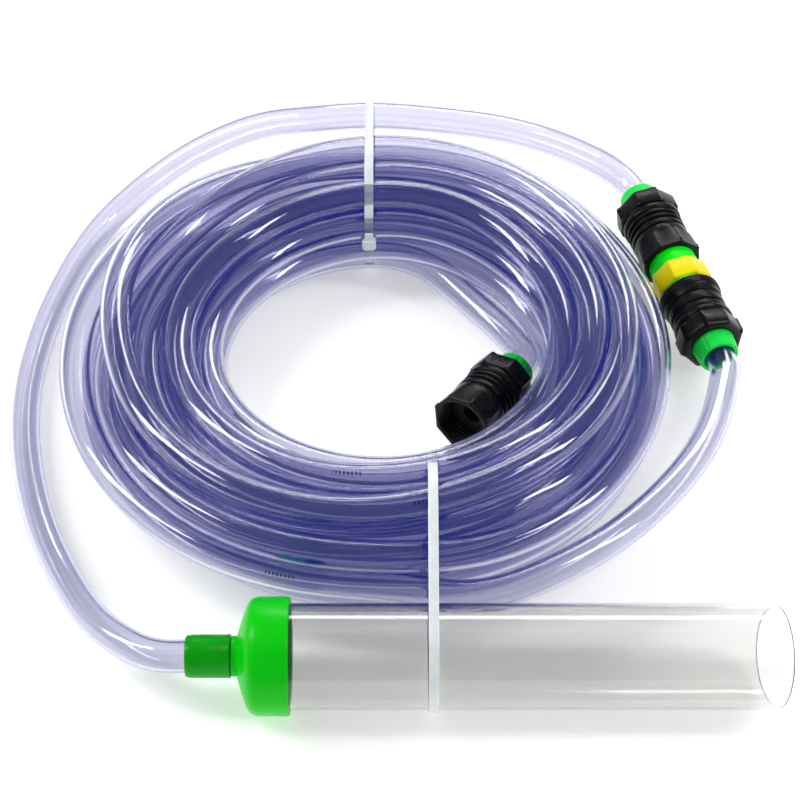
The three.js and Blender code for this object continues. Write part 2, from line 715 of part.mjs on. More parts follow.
// A tie drawn taut round the bundle and one round thing beside it, across the X direction.
// side is +1 behind the coil's centre and -1 before it; its head sits on the bundle's inner wall.
function cableTie(side, x, beside) {
  const edge = Math.abs(x) + TIE_WIDTH;
  const outer = Math.sqrt((COIL_RADIUS + BUNDLE_RADIUS) ** 2 - Math.max(0, Math.abs(x) - TIE_WIDTH) ** 2);
  const inner = Math.sqrt((COIL_RADIUS - BUNDLE_RADIUS) ** 2 - edge ** 2);
  const centre = (side * (outer + inner)) / 2;
  const halfWidth = (outer - inner) / 2 + TIE_SLACK;
  const halfHeight = BUNDLE_RADIUS + GAP;
  const outline = (grow) => [
    ...ellipse(centre, BUNDLE_Z, halfWidth + grow, halfHeight + grow),
    ...ellipse(beside.y, beside.z, beside.radius + GAP + grow, beside.radius + GAP + grow),
  ];
  const foot = [-5, 5].map((across) => new THREE.Vector2(centre + across, 0));
  const band = new THREE.Shape(taut([...outline(TIE_THICKNESS), ...foot]));
  band.holes.push(new THREE.Path(taut(outline(0)).reverse()));
  const strap = new THREE.ExtrudeGeometry(band, { depth: TIE_WIDTH, bevelEnabled: false });
  strap.translate(0, 0, -TIE_WIDTH / 2);
  const headY = centre - side * (halfWidth + TIE_HEAD.depth / 2);
  const { width, height, depth, rise } = TIE_HEAD;
  const head = box(depth, height, width, headY, BUNDLE_Z + rise, 0);
  const acrossX = new THREE.Matrix4().makeBasis(
    new THREE.Vector3(0, 1, 0),
    new THREE.Vector3(0, 0, 1),
    new THREE.Vector3(1, 0, 0),
  );
  return joined(strap, head).applyMatrix4(acrossX);
}

const backHoseReach = BUNDLE_RADIUS + HOSE_RADIUS + BACK_HOSE.clearance;
const hoseAtBack = {
  y: COIL_RADIUS + backHoseReach * Math.cos(BACK_HOSE.angle),
  z: BUNDLE_Z + backHoseReach * Math.sin(BACK_HOSE.angle),
  radius: HOSE_RADIUS,
};
const backTie = add(siphon, 'cable_tie_back', cableTie(1, BACK_TIE.x, hoseAtBack), nylonTie);
backTie.position.set(BACK_TIE.x, 0, 0);

const tubeInTie = { y: TUBE_Y, z: CAP_Z, radius: TUBE_RADIUS };
const frontTie = add(siphon, 'cable_tie_front', cableTie(-1, FRONT_TIE.x, tubeInTie), nylonTie);
frontTie.position.set(FRONT_TIE.x, 0, 0);

// ---- Origin: on the floor, under the middle of everything but the hose -------------------------

const backEdge = hoseAtBack.y + hoseAtBack.radius + GAP + TIE_THICKNESS;
const frontEdge = TUBE_Y - CAP_RADIUS;
const mouthTip = MOUTH_X + TUBE_RADIUS * Math.tan(MOUTH_SLANT);
siphon.position.set(-(CAP_X + mouthTip) / 2, -(frontEdge + backEdge) / 2, 0);

export default siphon;
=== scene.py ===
import json
import math

import bmesh
import bpy
import numpy as np
from mathutils import Matrix, Vector


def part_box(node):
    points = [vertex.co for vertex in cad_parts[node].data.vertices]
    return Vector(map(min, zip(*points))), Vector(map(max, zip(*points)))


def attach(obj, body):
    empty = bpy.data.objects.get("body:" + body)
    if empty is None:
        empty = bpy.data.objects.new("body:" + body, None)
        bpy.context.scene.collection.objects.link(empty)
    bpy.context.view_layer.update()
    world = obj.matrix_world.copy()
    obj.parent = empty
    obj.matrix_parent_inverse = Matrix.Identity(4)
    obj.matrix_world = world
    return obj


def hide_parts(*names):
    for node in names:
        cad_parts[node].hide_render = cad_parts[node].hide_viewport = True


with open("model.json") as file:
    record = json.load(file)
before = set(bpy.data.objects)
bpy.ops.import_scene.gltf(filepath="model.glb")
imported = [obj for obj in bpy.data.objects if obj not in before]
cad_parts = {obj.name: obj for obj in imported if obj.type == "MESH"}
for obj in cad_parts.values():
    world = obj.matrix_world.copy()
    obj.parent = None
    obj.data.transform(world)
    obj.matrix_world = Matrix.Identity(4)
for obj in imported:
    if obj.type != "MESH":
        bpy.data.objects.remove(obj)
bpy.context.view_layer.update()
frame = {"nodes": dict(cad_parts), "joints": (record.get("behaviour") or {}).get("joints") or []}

# ---- The place it lies in --------------------------------------------------------------------
# The siphon lies on a white table, a little lit from inside, under wide, soft lights. The camera
# stands in front of the gravel tube and looks down on the coil.

MM = 0.001
LOOK_DOWN = math.radians(48)
coil_low, coil_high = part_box("hose_b_coil")
coil_middle = (Vector(coil_low) + Vector(coil_high)) / 2
coil_foot = Vector((coil_middle.x, coil_middle.y, 0))
scene = bpy.context.scene
scene.view_settings.view_transform = "Standard"

camera_lens = bpy.data.cameras.new("camera")
camera_lens.lens = 105.75
camera_lens.sensor_width = 36
camera = bpy.data.objects.new("camera", camera_lens)
camera.location = coil_foot + Vector((14.3, -833.96, 930.56)) * MM
camera.rotation_euler = (math.radians(90) - LOOK_DOWN, 0, 0)
scene.collection.objects.link(camera)
scene.camera = camera

room_light = bpy.data.worlds.new("room_light")
room_light.use_nodes = True
room_glow = room_light.node_tree.nodes["Background"]
room_glow.inputs["Color"].default_value = (1, 1, 1, 1)
room_glow.inputs["Strength"].default_value = 0.4
scene.world = room_light


def softbox(name, place, aim, width, length, watts):
    """A rectangular studio light at place, facing the point aim, in mm from the coil's foot."""
    light = bpy.data.lights.new(name, "AREA")
    light.shape = "RECTANGLE"
    light.size, light.size_y, light.energy = width * MM, length * MM, watts
    lamp = bpy.data.objects.new(name, light)
    lamp.location = coil_foot + Vector(place) * MM
    lamp.rotation_euler = (Vector(aim) - Vector(place)).to_track_quat("-Z", "Y").to_euler()
    scene.collection.objects.link(lamp)


softbox("softbox_left", (-900, 100, 900), (0, 0, 30), 260, 900, 9)
softbox("softbox_back", (250, 1000, 800), (0, 0, 30), 900, 200, 5)
softbox("softbox_right", (900, -200, 800), (0, 0, 30), 160, 700, 5)

table_mesh = bpy.data.meshes.new("table")
table_mesh.from_pydata([(-6, -6, 0), (6, -6, 0), (6, 6, 0), (-6, 6, 0)], [], [(0, 1, 2, 3)])
table = bpy.data.objects.new("table", table_mesh)
table.location.z = -0.0003
scene.collection.objects.link(table)
table_paint = bpy.data.materials.new("table_paint")
table_paint.use_nodes = True
table_shader = table_paint.node_tree.nodes["Principled BSDF"]
table_shader.inputs["Base Color"].default_value = (0.93, 0.93, 0.93, 1)
table_shader.inputs["Roughness"].default_value = 0.9
table_shader.inputs["Specular IOR Level"].default_value = 0.0
table_shader.inputs["Emission Color"].default_value = (1, 1, 1, 1)
table_shader.inputs["Emission Strength"].default_value = 0.45
table_mesh.materials.append(table_paint)

# ---- Clear hose ------------------------------------------------------------------------------
# Soft clear vinyl hose, extruded, 16 mm outside and half-inch bore. It looks lilac where it lies in
# layers, with a painted dark shade line down each edge, and a row of small printed marks every so
# often.

HOSE_RADIUS = 8.0
HOSE_WALL = 1.65


def link(tree, start, end):
    tree.links.new(start, end)


def node(tree, kind, **values):
    """A new node with its settings, and its inputs by name for keys that are sockets."""
    made = tree.nodes.new(kind)
    for key, value in values.items():
        if hasattr(made, key):
            setattr(made, key, value)
        else:
            made.inputs[key.replace("_", " ")].default_value = value
    return made


def maths(tree, operation, first, second, clamp=False):
    """A Math node on two things, each a socket or a number; gives its output."""
    made = tree.nodes.new("ShaderNodeMath")
    made.operation, made.use_clamp = operation, clamp
    for slot, value in enumerate((first, second)):
        if isinstance(value, (int, float)):
            made.inputs[slot].default_value = value
        else:
            link(tree, value, made.inputs[slot])
    return made.outputs[0]


def effect(name, inputs, outputs):
    """A shader node group with its named inputs and outputs; gives the tree and its two ends."""
    tree = bpy.data.node_groups.new(name, "ShaderNodeTree")
    for socket, kind, value in inputs:
        made = tree.interface.new_socket(socket, in_out="INPUT", socket_type=kind)
        if value is not None:
            made.default_value = value
    for socket, kind in outputs:
        tree.interface.new_socket(socket, in_out="OUTPUT", socket_type=kind)
    return tree, tree.nodes.new("NodeGroupInput"), tree.nodes.new("NodeGroupOutput")


# Long faint lines that the die leaves along the hose, read from the hose's own UV map
die_lines, die_in, die_out = effect(
    "die_lines",
    [("Around", "NodeSocketFloat", 9.0), ("Along", "NodeSocketFloat", 2.5)],
    [("Lines", "NodeSocketFloat")],
)
die_uv = node(die_lines, "ShaderNodeUVMap", uv_map="around_along")
die_apart = node(die_lines, "ShaderNodeSeparateXYZ")
link(die_lines, die_uv.outputs["UV"], die_apart.inputs[0])
die_together = node(die_lines, "ShaderNodeCombineXYZ")
die_angle = maths(die_lines, "MULTIPLY", die_apart.outputs["X"], 2 * math.pi)
for axis, way in (("X", "COSINE"), ("Y", "SINE")):
    die_side = maths(die_lines, way, die_angle, 0)
    link(
        die_lines,
        maths(die_lines, "MULTIPLY", die_side, die_in.outputs["Around"]),
        die_together.inputs[axis],
    )
link(
    die_lines,
    maths(die_lines, "MULTIPLY", die_apart.outputs["Y"], die_in.outputs["Along"]),
    die_together.inputs["Z"],
)
die_noise = node(die_lines, "ShaderNodeTexNoise", Scale=0.32, Detail=1.5, Roughness=0.5)
link(die_lines, die_together.outputs[0], die_noise.inputs["Vector"])
link(die_lines, die_noise.outputs["Fac"], die_out.inputs["Lines"])


def ramp(tree, source, stops):
    """A colour ramp on a socket, between two stops of (position, grey or (r, g, b))."""
    made = tree.nodes.new("ShaderNodeValToRGB")
    link(tree, source, made.inputs["Fac"])
    for stop, (place, colour) in zip(made.color_ramp.elements, stops):
        stop.position = place
        stop.color = (*colour, 1) if isinstance(colour, tuple) else (colour, colour, colour, 1)
    return made.outputs["Color"]


clear_vinyl = bpy.data.materials.new("clear_vinyl")
clear_vinyl.use_nodes = True
vinyl = clear_vinyl.node_tree
vinyl_shader = vinyl.nodes["Principled BSDF"]
vinyl_shader.inputs["Transmission Weight"].default_value = 1.0
vinyl_shader.inputs["Roughness"].default_value = 0.02
vinyl_shader.inputs["IOR"].default_value = 1.5
# The hose glows faintly blue from its own emission: painted light that deepens its blue where it
# lies in layers
vinyl_shader.inputs["Emission Color"].default_value = (0.0, 0.07, 1.0, 1)
vinyl_shader.inputs["Emission Strength"].default_value = 0.019
vinyl_lines = node(vinyl, "ShaderNodeGroup", node_tree=die_lines)
vinyl_clear = ramp(
    vinyl, vinyl_lines.outputs["Lines"], [(0.3, (0.70, 0.69, 0.765)), (0.7, (0.82, 0.81, 0.86))]
)

# Small dark ticks printed in a short row on the hose, every 340 mm
ticks, ticks_in, ticks_out = effect(
    "printed_ticks",
    [
        ("Every", "NodeSocketFloat", 0.34),
        ("Row", "NodeSocketFloat", 0.014),
        ("Pitch", "NodeSocketFloat", 0.0019),
        ("Side", "NodeSocketFloat", 0.62),
        ("Height", "NodeSocketFloat", 0.019),
        ("Thickness", "NodeSocketFloat", 0.42),
    ],
    [("Ink", "NodeSocketFloat")],
)
ticks_uv = node(ticks, "ShaderNodeUVMap", uv_map="around_along")
ticks_apart = node(ticks, "ShaderNodeSeparateXYZ")
link(ticks, ticks_uv.outputs["UV"], ticks_apart.inputs[0])
ticks_round, ticks_along = ticks_apart.outputs["X"], ticks_apart.outputs["Y"]
ticks_place = maths(ticks, "MODULO", ticks_along, ticks_in.outputs["Every"])
ticks_row = maths(ticks, "LESS_THAN", ticks_place, ticks_in.outputs["Row"])
ticks_step = maths(ticks, "MODULO", ticks_along, ticks_in.outputs["Pitch"])
ticks_thick = maths(ticks, "MULTIPLY", ticks_in.outputs["Pitch"], ticks_in.outputs["Thickness"])
ticks_bar = maths(ticks, "LESS_THAN", ticks_step, ticks_thick)
ticks_side = maths(ticks, "SUBTRACT", ticks_round, ticks_in.outputs["Side"])
ticks_off = maths(ticks, "ABSOLUTE", ticks_side, 0)
ticks_band = maths(ticks, "LESS_THAN", ticks_off, ticks_in.outputs["Height"])
ticks_ink = maths(ticks, "MULTIPLY", maths(ticks, "MULTIPLY", ticks_row, ticks_bar), ticks_band)
link(ticks, ticks_ink, ticks_out.inputs["Ink"])

MIX_FIRST, MIX_SECOND, MIX_RESULT = 6, 7, 2
vinyl_ticks = node(vinyl, "ShaderNodeGroup", node_tree=ticks)
vinyl_ink = node(vinyl, "ShaderNodeMix", data_type="RGBA")
link(vinyl, vinyl_ticks.outputs["Ink"], vinyl_ink.inputs["Factor"])
link(vinyl, vinyl_clear, vinyl_ink.inputs[MIX_FIRST])
vinyl_ink.inputs[MIX_SECOND].default_value = (0.12, 0.12, 0.17, 1)

# The wall is seen through lengthways at the hose's edges, so its tint is deeper there; the colour
# is also darkened towards the edges by the angle of view, which paints in the shade of the dark
# line down each edge
vinyl_facing = node(vinyl, "ShaderNodeLayerWeight", Blend=0.5)
vinyl_edge_tint_and_painted_shade = node(vinyl, "ShaderNodeMix", data_type="RGBA")
vinyl_grazing = maths(vinyl, "POWER", vinyl_facing.outputs["Facing"], 3.5)
link(vinyl, vinyl_grazing, vinyl_edge_tint_and_painted_shade.inputs["Factor"])
link(vinyl, vinyl_ink.outputs[MIX_RESULT], vinyl_edge_tint_and_painted_shade.inputs[MIX_FIRST])
vinyl_edge_tint_and_painted_shade.inputs[MIX_SECOND].default_value = (0.2, 0.23, 0.56, 1)
link(vinyl, vinyl_edge_tint_and_painted_shade.outputs[MIX_RESULT], vinyl_shader.inputs["Base Color"])


def tube(name, points, radius, wall, sides, material):
    """A hollow round tube through points in metres; its UV map has turns around, metres along."""
    points = np.array([tuple(p) for p in points])
    ways = np.gradient(points, axis=0)
    ways /= np.linalg.norm(ways, axis=1)[:, None]
    across = np.cross(ways[0], (0.0, 0.0, 1.0))
    across /= np.linalg.norm(across)
    along = np.concatenate([[0], np.cumsum(np.linalg.norm(np.diff(points, axis=0), axis=1))])
    turns = np.arange(sides) * 2 * math.pi / sides
    outside, inside = [], []
    for point, way in zip(points, ways):
        across = across - way * across.dot(way)
        across /= np.linalg.norm(across)
        beside = np.cross(way, across)
        rim = np.outer(np.cos(turns), across) + np.outer(np.sin(turns), beside)
        outside.append(point + radius * rim)
        inside.append(point + (radius - wall) * rim)
    count = len(points)
    bore = count * sides
    faces = []
    for row in range(count - 1):
        for side in range(sides):
            near, far = row * sides, (row + 1) * sides
            beyond = (side + 1) % sides
            around = (near + side, near + beyond, far + beyond, far + side)
            faces.append(around)
            faces.append(tuple(bore + around[i] for i in (0, 3, 2, 1)))
    for side in range(sides):
        beyond, end = (side + 1) % sides, (count - 1) * sides
        faces.append((side, bore + side, bore + beyond, beyond))
        faces.append((end + side, end + beyond, bore + end + beyond, bore + end + side))
    mesh = bpy.data.meshes.new(name)
    mesh.from_pydata(np.concatenate(outside + inside).tolist(), [], faces)
    layer = mesh.uv_layers.new(name="around_along").data
    for face, corners in enumerate(faces[: 2 * (count - 1) * sides]):
        first_side = face // 2 % sides
        for corner, vertex in enumerate(corners):
            side = vertex % sides
            if first_side == sides - 1 and side == 0:
                side = sides
            layer[4 * face + corner].uv = (side / sides, along[vertex % bore // sides])
    mesh.shade_smooth()
    mesh.materials.append(material)
    piece = bpy.data.objects.new(name, mesh)
    scene.collection.objects.link(piece)
    return piece


def smooth_route(stops, step=4.0):
    """Evenly spaced points on a centripetal spline through stops, all in mm."""
    stops = [np.array(s, float) for s in stops]
    stops = [2 * stops[0] - stops[1], *stops, 2 * stops[-1] - stops[-2]]
    fine = []
    for a, b, c, d in zip(stops, stops[1:], stops[2:], stops[3:]):
        knots = [0.0]
        for one, two in ((a, b), (b, c), (c, d)):
            knots.append(knots[-1] + max(1e-6, np.linalg.norm(two - one)) ** 0.5)
        for t in np.linspace(knots[1], knots[2], 24, endpoint=False):

            def mix(p, q, i, j):
                return ((knots[j] - t) * p + (t - knots[i]) * q) / (knots[j] - knots[i])

            ab, bc, cd = mix(a, b, 0, 1), mix(b, c, 1, 2), mix(c, d, 2, 3)
            fine.append(mix(mix(ab, bc, 0, 2), mix(bc, cd, 1, 3), 1, 2))
    fine = np.array([*fine, stops[-2]])
    return evenly(fine, step)


def evenly(line, step):
    """The same line with points a step apart."""
    gone = np.concatenate([[0], np.cumsum(np.linalg.norm(np.diff(line, axis=0), axis=1))])
    wanted = np.linspace(0, gone[-1], max(3, round(gone[-1] / step)))
    return np.stack([np.interp(wanted, gone, line[:, i]) for i in range(3)], axis=1)


# Where each line of fittings starts and the way it runs, read from the joints of its nuts
joints = {joint["name"]: joint for joint in frame["joints"]}
coil_shift = np.array(coil_foot)


def line_of(joint_name, station, outwards=-1):
    """(start in metres, unit way) of a line of fittings whose joint sits station mm along it."""
    way = Vector(joints[joint_name]["axis"]).normalized() * outwards
    return Vector(joints[joint_name]["pos_m"]) - way * station * MM, way


NUT_MIDDLE = 17.25
lines = {number: line_of(f"clamp_nut_{number}_turn", NUT_MIDDLE) for number in (1, 2, 3)}
sleeve_low, sleeve_high = (Vector(corner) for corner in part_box("cap_sleeve"))
cap_start = Vector(
    (sleeve_low.x, (sleeve_low.y + sleeve_high.y) / 2, (sleeve_low.z + sleeve_high.z) / 2)
)
lines["cap"] = (cap_start, Vector((1, 0, 0)))
VALVE_MIDDLE = 14.1
lines["valve"] = line_of("valve_collar_turn", VALVE_MIDDLE, 1)
HOSE_DEPTH = 23.7
CAP_DEPTH = 21.0


def from_fitting(name, depth, straight=9.0):
    """The hose's points from its end inside a fitting to just outside, in mm from the coil."""
    start, way = lines[name]
    return [np.array(start + way * s * MM - coil_foot) / MM for s in (depth, 0.0, -straight)]


def in_metres(line):
    return line * MM + coil_shift


# ---- Hose from the gravel tube to the valve ----------------------------------------------------
# The short hose leaves the cap, goes round the outside of the coil along the table, climbs over the
# back of it under the tie, and drops into the first connector. Both its ends go into fittings.

hose_a_stops = [
    *from_fitting("cap", CAP_DEPTH),
    (-106, -180.5, 27),
    (-119, -171, 24),
    (-134, -154, 18.5),
    (-152, -122, 12),
    (-166.7, -88, 9),
    (-177, -52, 8.5),
    (-182.5, -16, 8.5),
    (-182.5, 20, 8.5),
    (-174, 72, 8.6),
    (-155, 123, 11),
    (-128, 151, 21),
    (-99, 162.5, 36),
    (-65, 164.5, 52),
    (-33, 161.5, 60),
    (0, 163, 61),
    (36, 162, 58.5),
    (70, 161, 53.5),
    (93, 160, 47),
    (112, 158.5, 39.5),
    (128, 155, 32.5),
    (139, 149, 28),
    *reversed(from_fitting(1, HOSE_DEPTH, 6.0)),
]
hose_a_line = smooth_route(hose_a_stops)
hose_a_path = in_metres(hose_a_line)
hose_a = tube("hose_to_valve", hose_a_path, HOSE_RADIUS * MM, HOSE_WALL * MM, 28, clear_vinyl)
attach(hose_a, "root")
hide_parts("hose_a")

# ---- Coiled hose from the valve to the tap connector -------------------------------------------
# The long hose leaves the second connector, winds clockwise in a loose flat bundle, and comes out
# inside it at the tap connector. The turns are found by pushing neighbours apart while the bundle
# is held to its section, on the table. They still run about 2 mm into each other in places, and
# some run a few millimetres into the straps of the ties and into the gravel tube.

TURNS = 15
STEPS_ROUND = 90
LEAD_STOPS = [
    *from_fitting(2, HOSE_DEPTH),
    (184, -4, 26.5),
    (181, -22, 28),
    (168.5, -57, 31.5),
    (149.5, -86.5, 35.5),
    (122, -119, 38.5),
    (92, -141, 40),
]
TAIL_STOPS = [
    (61, 58, 12),
    (70, 47, 12),
    (78, 34, 12.5),
    *reversed(from_fitting(3, HOSE_DEPTH)),
]
lead_line = smooth_route(LEAD_STOPS)
tail_line = smooth_route(TAIL_STOPS)
lead_angle = math.atan2(lead_line[-1][1], lead_line[-1][0])
tail_angle = math.atan2(tail_line[0][1], tail_line[0][0])
turning = 2 * math.pi * TURNS - (tail_angle - lead_angle)
count = round(turning / (2 * math.pi) * STEPS_ROUND)
angles = lead_angle - np.arange(count + 1) * 2 * math.pi / STEPS_ROUND

# The bundle's section at each angle: radius of its middle, half its width and half its height
BUNDLE_Z = 37.2
key_angles = np.radians([-180, -140, -105, -76, -40, 0, 30, 60, 91, 130, 180])
key_inner = np.array([76, 77, 80, 81.5, 85, 88, 88, 85, 85.5, 80, 76])
key_outer = np.array([165, 163, 158, 156, 157, 157, 155, 158, 160, 163, 165])
key_height = np.array([34, 34, 35.5, 36, 36, 36, 36, 36, 36, 35, 34])
wrapped = (angles + math.pi) % (2 * math.pi) - math.pi
inner = np.interp(wrapped, key_angles, key_inner) + HOSE_RADIUS
outer = np.interp(wrapped, key_angles, key_outer) - HOSE_RADIUS
half_height = np.interp(wrapped, key_angles, key_height) - HOSE_RADIUS
middle, half_width = (inner + outer) / 2, (outer - inner) / 2

# Each turn's place in the bundle, in half widths and half heights: up and down, column by column
columns = [(0.85, (-0.1, 0.5)), (0.35, (0.95, 0.3, -0.3, -0.95)), (-0.3, (-0.9, -0.3, 0.3, 0.95))]
columns += [(-0.85, (0.6, 0.1, -0.4)), (0.0, (0.0, -0.6)), (-0.7, (-0.7,))]
places = np.array([(u, v) for u, heights in columns for v in heights])
laps = np.arange(count + 1) / STEPS_ROUND
drawn = np.linspace(0, len(places) - 1, count + 1)
WANDER_SEED, WANDER, WAVES_A_LAP = 11, 0.10, (0.37, 0.71, 1.3)
wander = np.random.default_rng(WANDER_SEED)
drift = np.zeros((count + 1, 2))
for waves in WAVES_A_LAP:
    phase = wander.uniform(0, 2 * math.pi, 2)
    drift += WANDER * np.sin(2 * math.pi * laps[:, None] * waves + phase)
drift += np.stack([np.interp(drawn, np.arange(len(places)), places[:, i]) for i in (0, 1)], 1)
bundle_middle = np.stack([middle, np.full_like(middle, BUNDLE_Z)], 1)
bundle_half = np.stack([half_width, half_height], 1)
section = bundle_middle + bundle_half * drift
first = np.array([np.hypot(*lead_line[-1][:2]), lead_line[-1][2]])
last = np.array([np.hypot(*tail_line[0][:2]), tail_line[0][2]])
full_laps = math.ceil((count + 1) / STEPS_ROUND)
spare = full_laps * STEPS_ROUND - (count + 1)
APART = 2 * HOSE_RADIUS + 0.15
FAR_AWAY = 1e4
SQUARENESS = 2.3
for _ in range(700):
    section[1:-1] += 0.35 * ((section[:-2] + section[2:]) / 2 - section[1:-1])
    stacked = np.concatenate([section, np.full((spare, 2), FAR_AWAY)])
    stacked = stacked.reshape(full_laps, STEPS_ROUND, 2)
    gaps = stacked[:, None] - stacked[None, :]
    space = np.linalg.norm(gaps, axis=3)
    space[np.arange(full_laps), np.arange(full_laps)] = FAR_AWAY
    push = np.clip(APART - space, 0, 6) * 0.5
    push = np.where(space < FAR_AWAY / 10, push, 0)
    moves = (gaps / np.maximum(space, 0.5)[..., None] * push[..., None]).sum(axis=1)
    section += 0.8 * moves.reshape(-1, 2)[: count + 1]
    off_middle = section - bundle_middle
    reach = (np.abs(off_middle / bundle_half) ** SQUARENESS).sum(axis=1) ** (1 / SQUARENESS)
    section = section - 0.7 * off_middle * (1 - 1 / np.maximum(reach, 1))[:, None]
    section[:, 1] = np.maximum(section[:, 1], HOSE_RADIUS + 0.3)
    section[:, 1] -= 0.01
    for near, anchor in ((slice(0, 6), first), (slice(count - 5, count + 1), last)):
        section[near] = anchor

across, up = section.T
wound = np.stack([across * np.cos(angles), across * np.sin(angles), up], 1)
hose_b_line = smooth_route(np.concatenate([lead_line[:-1:2], wound[2:-2], tail_line[1::2]]), 5.6)
between = hose_b_line[1:-1]
held = slice(6, -6)
for _ in range(30):
    between[held] += 0.5 * ((hose_b_line[:-2] + hose_b_line[2:]) / 2 - between)[held]
hose_b_path = in_metres(hose_b_line)
hose_b = tube("hose_in_coil", hose_b_path, HOSE_RADIUS * MM, HOSE_WALL * MM, 22, clear_vinyl)
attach(hose_b, "root")
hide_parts("hose_b_lead", "hose_b_coil", "hose_b_tail")

# ---- Gravel tube -----------------------------------------------------------------------------
# A rigid clear acrylic tube, extruded and cut off at a slant at its mouth. It pushes into the cap,
# so it rides on its own body and can be pulled out.

TUBE_RADIUS, TUBE_WALL, TUBE_LENGTH = 25.0, 1.5, 246.0
TUBE_START = 31.476
MOUTH_SLANT, MOUTH_TURN = math.radians(12), math.radians(222)
SLANT_STARTS, SLANT_WHOLE = 120.0, 180.0
TUBE_STATIONS = [0.0, 0.5, 1.5, 60.0, SLANT_STARTS, SLANT_WHOLE]
TUBE_STATIONS += [TUBE_LENGTH - 1.5, TUBE_LENGTH - 0.5, TUBE_LENGTH]


def placed(name):
    """The matrix that takes a fitting's own mm, along +Z, to its place on a line."""
    start, way = lines[name]
    turn = Vector((0, 0, 1)).rotation_difference(way).to_matrix().to_4x4()
    return Matrix.Translation(start) @ turn @ Matrix.Scale(MM, 4)


def settled(piece, place, material, crease=30):
    """Applies the piece's modifiers and moves its mesh to its place, the object at the origin."""
    evaluated = piece.evaluated_get(bpy.context.evaluated_depsgraph_get())
    mesh = bpy.data.meshes.new_from_object(evaluated)
    piece.modifiers.clear()
    piece.data = mesh
    mesh.transform(place)
    mesh.materials.clear()
    mesh.materials.append(material)
    mesh.shade_smooth()
    mesh.set_sharp_from_angle(angle=math.radians(crease))
    return piece


def turned(name, rows, place, material, sides=96, lift=0.0, bevel=0.25, shape=None):
    """A turned ring; rows are (radius, along, flat) in mm, flat 1 for an octagon over its corners.
    lift raises every second facet, and shape may move each vertex."""
    verts, eighth = [], math.pi / 4
    for side in range(sides):
        angle = side * 2 * math.pi / sides
        for row in rows:
            radius, along, flat = (*row, 0)[:3]
            off_flat = angle % eighth - eighth / 2
            facet = 1 - flat + flat * math.cos(eighth / 2) / math.cos(off_flat)
            raised = lift * flat if int(angle / eighth + 1e-6) % 2 == 0 else 0
            around = radius * facet + raised
            verts.append((around * math.cos(angle), around * math.sin(angle), along))
    if shape:
        verts = [shape(Vector(v)) for v in verts]
    count = len(rows)
    faces = [
        (
            side * count + row,
            (side + 1) % sides * count + row,
            (side + 1) % sides * count + (row + 1) % count,
            side * count + (row + 1) % count,
        )
        for side in range(sides)
        for row in range(count)
    ]
    mesh = bpy.data.meshes.new(name)
    mesh.from_pydata([tuple(v) for v in verts], [], faces)
    solid = bmesh.new()
    solid.from_mesh(mesh)
    bmesh.ops.remove_doubles(solid, verts=solid.verts, dist=1e-4)
    bmesh.ops.recalc_face_normals(solid, faces=solid.faces)
    solid.to_mesh(mesh)
    solid.free()
    piece = bpy.data.objects.new(name, mesh)
    scene.collection.objects.link(piece)
    if bevel:
        softened = piece.modifiers.new("softened", "BEVEL")
        softened.width, softened.segments = bevel, 2
        softened.limit_method, softened.angle_limit = "ANGLE", math.radians(32)
    return settled(piece, place, material)


def slanted(vertex):
    """Cuts the tube's mouth off at its slant."""
    past = vertex.z - TUBE_START - SLANT_STARTS
    share = min(1.0, max(0.0, past / (SLANT_WHOLE - SLANT_STARTS)))
    reach = vertex.x * math.cos(MOUTH_TURN) + vertex.y * math.sin(MOUTH_TURN)
    vertex.z += share * reach * math.tan(MOUTH_SLANT)
    return vertex


# Fine scuffs and a faint cloudiness on clear and moulded plastics, in the piece's own metres
surface_wear, wear_in, wear_out = effect(
    "surface_wear",
    [("Scale", "NodeSocketFloat", 300.0), ("Stretch", "NodeSocketFloat", 1.0)],
    [("Tone", "NodeSocketFloat"), ("Height", "NodeSocketFloat")],
)
wear_place = node(surface_wear, "ShaderNodeTexCoord")
wear_stretch = node(surface_wear, "ShaderNodeCombineXYZ")
link(surface_wear, wear_in.outputs["Stretch"], wear_stretch.inputs["X"])
wear_stretch.inputs["Y"].default_value = wear_stretch.inputs["Z"].default_value = 1
wear_mapping = node(surface_wear, "ShaderNodeMapping")
link(surface_wear, wear_place.outputs["Object"], wear_mapping.inputs["Vector"])
link(surface_wear, wear_stretch.outputs[0], wear_mapping.inputs["Scale"])
wear_noise = node(surface_wear, "ShaderNodeTexNoise", Detail=4.0, Roughness=0.6)
link(surface_wear, wear_mapping.outputs[0], wear_noise.inputs["Vector"])
link(surface_wear, wear_in.outputs["Scale"], wear_noise.inputs["Scale"])
wear_grain = node(surface_wear, "ShaderNodeTexNoise", Detail=2.0, Roughness=0.5)
link(surface_wear, wear_mapping.outputs[0], wear_grain.inputs["Vector"])
link(
    surface_wear,
    maths(surface_wear, "MULTIPLY", wear_in.outputs["Scale"], 7.0),
    wear_grain.inputs["Scale"],
)
link(surface_wear, wear_noise.outputs["Fac"], wear_out.inputs["Tone"])
link(surface_wear, wear_grain.outputs["Fac"], wear_out.inputs["Height"])

clear_acrylic = bpy.data.materials.new("clear_acrylic")
clear_acrylic.use_nodes = True
acrylic = clear_acrylic.node_tree
acrylic_shader = acrylic.nodes["Principled BSDF"]
acrylic_shader.inputs["IOR"].default_value = 1.49
acrylic_shader.inputs["Transmission Weight"].default_value = 1.0
acrylic_wear = node(acrylic, "ShaderNodeGroup", node_tree=surface_wear, Scale=60.0, Stretch=0.25)
acrylic_tone = acrylic_wear.outputs["Tone"]
acrylic_haze = ramp(
    acrylic, acrylic_tone, [(0.35, (0.855, 0.85, 0.84)), (0.65, (0.885, 0.88, 0.87))]
)
link(acrylic, acrylic_haze, acrylic_shader.inputs["Base Color"])
acrylic_scuffs = ramp(acrylic, acrylic_tone, [(0.3, 0.045), (0.7, 0.085)])
link(acrylic, acrylic_scuffs, acrylic_shader.inputs["Roughness"])

